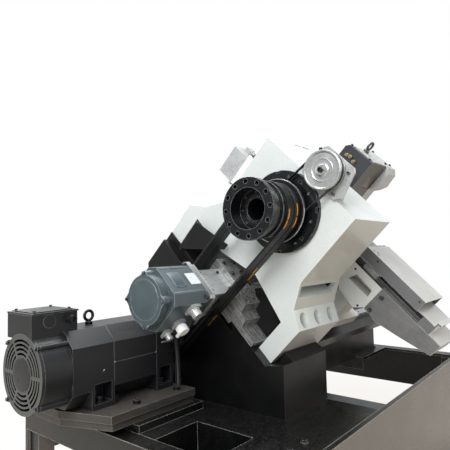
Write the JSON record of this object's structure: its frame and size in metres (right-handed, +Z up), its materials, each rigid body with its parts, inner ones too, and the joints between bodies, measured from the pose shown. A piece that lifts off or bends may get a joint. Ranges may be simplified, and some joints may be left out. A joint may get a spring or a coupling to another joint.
{
  "type": "slant bed turning lathe",
  "caption": "Slant-bed turning lathe without its guards: belt-driven headstock, spindle motor, feed motor, carriage with turret on a steel base.",
  "frame": {"origin": "middle of the machine's footprint, on the floor", "axes": "+X along the spindle from its rear end towards the carriage, +Y to the back of the machine, +Z up"},
  "size_m": [1.963, 1.2777, 1.5802],
  "materials": {
    "black_paint": "satin black enamel, scuffed on the edges",
    "charcoal_paint": "satin charcoal enamel",
    "white_paint": "smooth grey-white machine enamel",
    "light_grey_paint": "light grey enamel",
    "blue_grey_paint": "satin blue-grey enamel",
    "black_steel": "turned and blackened steel",
    "bright_steel": "ground steel",
    "dark_steel": "dark grey plate",
    "stainless_sheet": "folded stainless sheet",
    "machined_iron": "machined cast iron, lightly oiled",
    "aluminium": "turned aluminium",
    "belt_rubber": "ribbed black rubber",
    "black_plastic": "matte black moulded plastic",
    "white_plastic": "white moulded cap",
    "brass": "bright brass"
  },
  "bodies": {
    "bed": {"base_frame": "black_paint", "levelling_feet": "bright_steel", "deck_plates": "black_paint", "bed_casting": "black_paint", "z_guide_rails": "bright_steel", "headstock_casting": "white_paint", "machine_bolts": "black_steel", "bearing_covers": "black_steel", "spindle_bearings": "bright_steel", "motor_plate_upper": "black_paint", "motor_plate_lower": "black_paint", "motor_end_bell": "charcoal_paint", "motor_stator": "charcoal_paint", "motor_front_bracket": "charcoal_paint", "motor_fan_shroud": "charcoal_paint", "motor_fan_grille": "charcoal_paint", "terminal_box": "charcoal_paint", "terminal_box_lid": "charcoal_paint", "cable_gland": "black_plastic", "servo_housing": "blue_grey_paint", "servo_rear_cap": "blue_grey_paint", "servo_bracket": "aluminium", "servo_connectors": "aluminium", "connector_cap": "white_plastic", "servo_conduit": "black_plastic", "screw_supports": "machined_iron", "guard_sheets": "black_paint", "encoder_bracket": "aluminium", "drive_belts": "belt_rubber", "encoder_belt": "belt_rubber"},
    "spindle": {"spindle_shaft": "black_steel", "rear_flange": "black_steel", "spindle_pulley": "black_steel", "spacer_ring": "bright_steel", "timing_sprocket": "black_steel", "chuck_body": "bright_steel"},
    "jaw_1": {"chuck_jaw_1": "bright_steel"},
    "jaw_2": {"chuck_jaw_2": "bright_steel"},
    "jaw_3": {"chuck_jaw_3": "bright_steel"},
    "motor_rotor": {"motor_shaft": "bright_steel", "motor_pulley": "black_steel", "cooling_fan": "black_plastic"},
    "encoder_wheel": {"encoder_pulley": "aluminium"},
    "z_screw": {"z_ballscrew": "bright_steel"},
    "saddle": {"z_saddle": "white_paint", "z_bearing_blocks": "bright_steel", "saddle_arm_plates": "dark_steel", "lower_cover": "stainless_sheet", "x_guide_rails": "bright_steel", "x_servo": "light_grey_paint"},
    "x_screw": {"x_ballscrew": "bright_steel"},
    "slide": {"cross_slide": "machined_iron", "x_bearing_blocks": "bright_steel", "slide_cover": "stainless_sheet", "turret_body": "machined_iron", "turret_motor": "charcoal_paint", "turret_motor_cover": "light_grey_paint", "turret_eye_bolt": "bright_steel", "drive_fittings": "brass"},
    "turret": {"turret_disc": "bright_steel"}
  },
  "joints": [
    {"name": "spindle_spin", "type": "hinge", "parent": "bed", "child": "spindle", "pos_m": [-0.25, -0.26545, 1.18], "axis": [1, 0, 0], "continuous": true},
    {"name": "jaw_1_slide", "type": "slide", "parent": "spindle", "child": "jaw_1", "axis": [0, 1, 0], "range_m": [-0.008, 0.004]},
    {"name": "jaw_2_slide", "type": "slide", "parent": "spindle", "child": "jaw_2", "axis": [0, -0.5, 0.866], "range_m": [-0.008, 0.004]},
    {"name": "jaw_3_slide", "type": "slide", "parent": "spindle", "child": "jaw_3", "axis": [0, -0.5, -0.866], "range_m": [-0.008, 0.004]},
    {"name": "motor_spin", "type": "hinge", "parent": "bed", "child": "motor_rotor", "pos_m": [-0.6, 0.25455, 0.696], "axis": [1, 0, 0], "continuous": true},
    {"name": "encoder_spin", "type": "hinge", "parent": "bed", "child": "encoder_wheel", "pos_m": [-0.353, -0.43869, 1.29667], "axis": [1, 0, 0], "continuous": true},
    {"name": "z_slide", "type": "slide", "parent": "bed", "child": "saddle", "axis": [1, 0, 0], "range_m": [0, 0.45]},
    {"name": "z_screw_spin", "type": "hinge", "parent": "bed", "child": "z_screw", "pos_m": [0.1, 0.00467, 0.90423], "axis": [1, 0, 0], "range_deg": [-360, 16560]},
    {"name": "x_slide", "type": "slide", "parent": "saddle", "child": "slide", "axis": [0, -0.7071, -0.7071], "range_m": [-0.05, 0.19]},
    {"name": "x_screw_spin", "type": "hinge", "parent": "saddle", "child": "x_screw", "pos_m": [0.214, -0.12898, 1.04353], "axis": [0, -0.7071, -0.7071], "range_deg": [-2160, 7200]},
    {"name": "turret_index", "type": "hinge", "parent": "slide", "child": "turret", "pos_m": [0.13, -0.05332, 1.43456], "axis": [1, 0, 0], "range_deg": [-180, 180]}
  ],
  "couplings": [
    {"joint": "motor_spin", "follows": "spindle_spin", "ratio": 1.1277},
    {"joint": "encoder_spin", "follows": "spindle_spin", "ratio": 1},
    {"joint": "jaw_2_slide", "follows": "jaw_1_slide", "ratio": 1},
    {"joint": "jaw_3_slide", "follows": "jaw_1_slide", "ratio": 1},
    {"joint": "z_screw_spin", "follows": "z_slide", "rad_per_m": 628.32},
    {"joint": "x_screw_spin", "follows": "x_slide", "rad_per_m": 628.32}
  ]
}
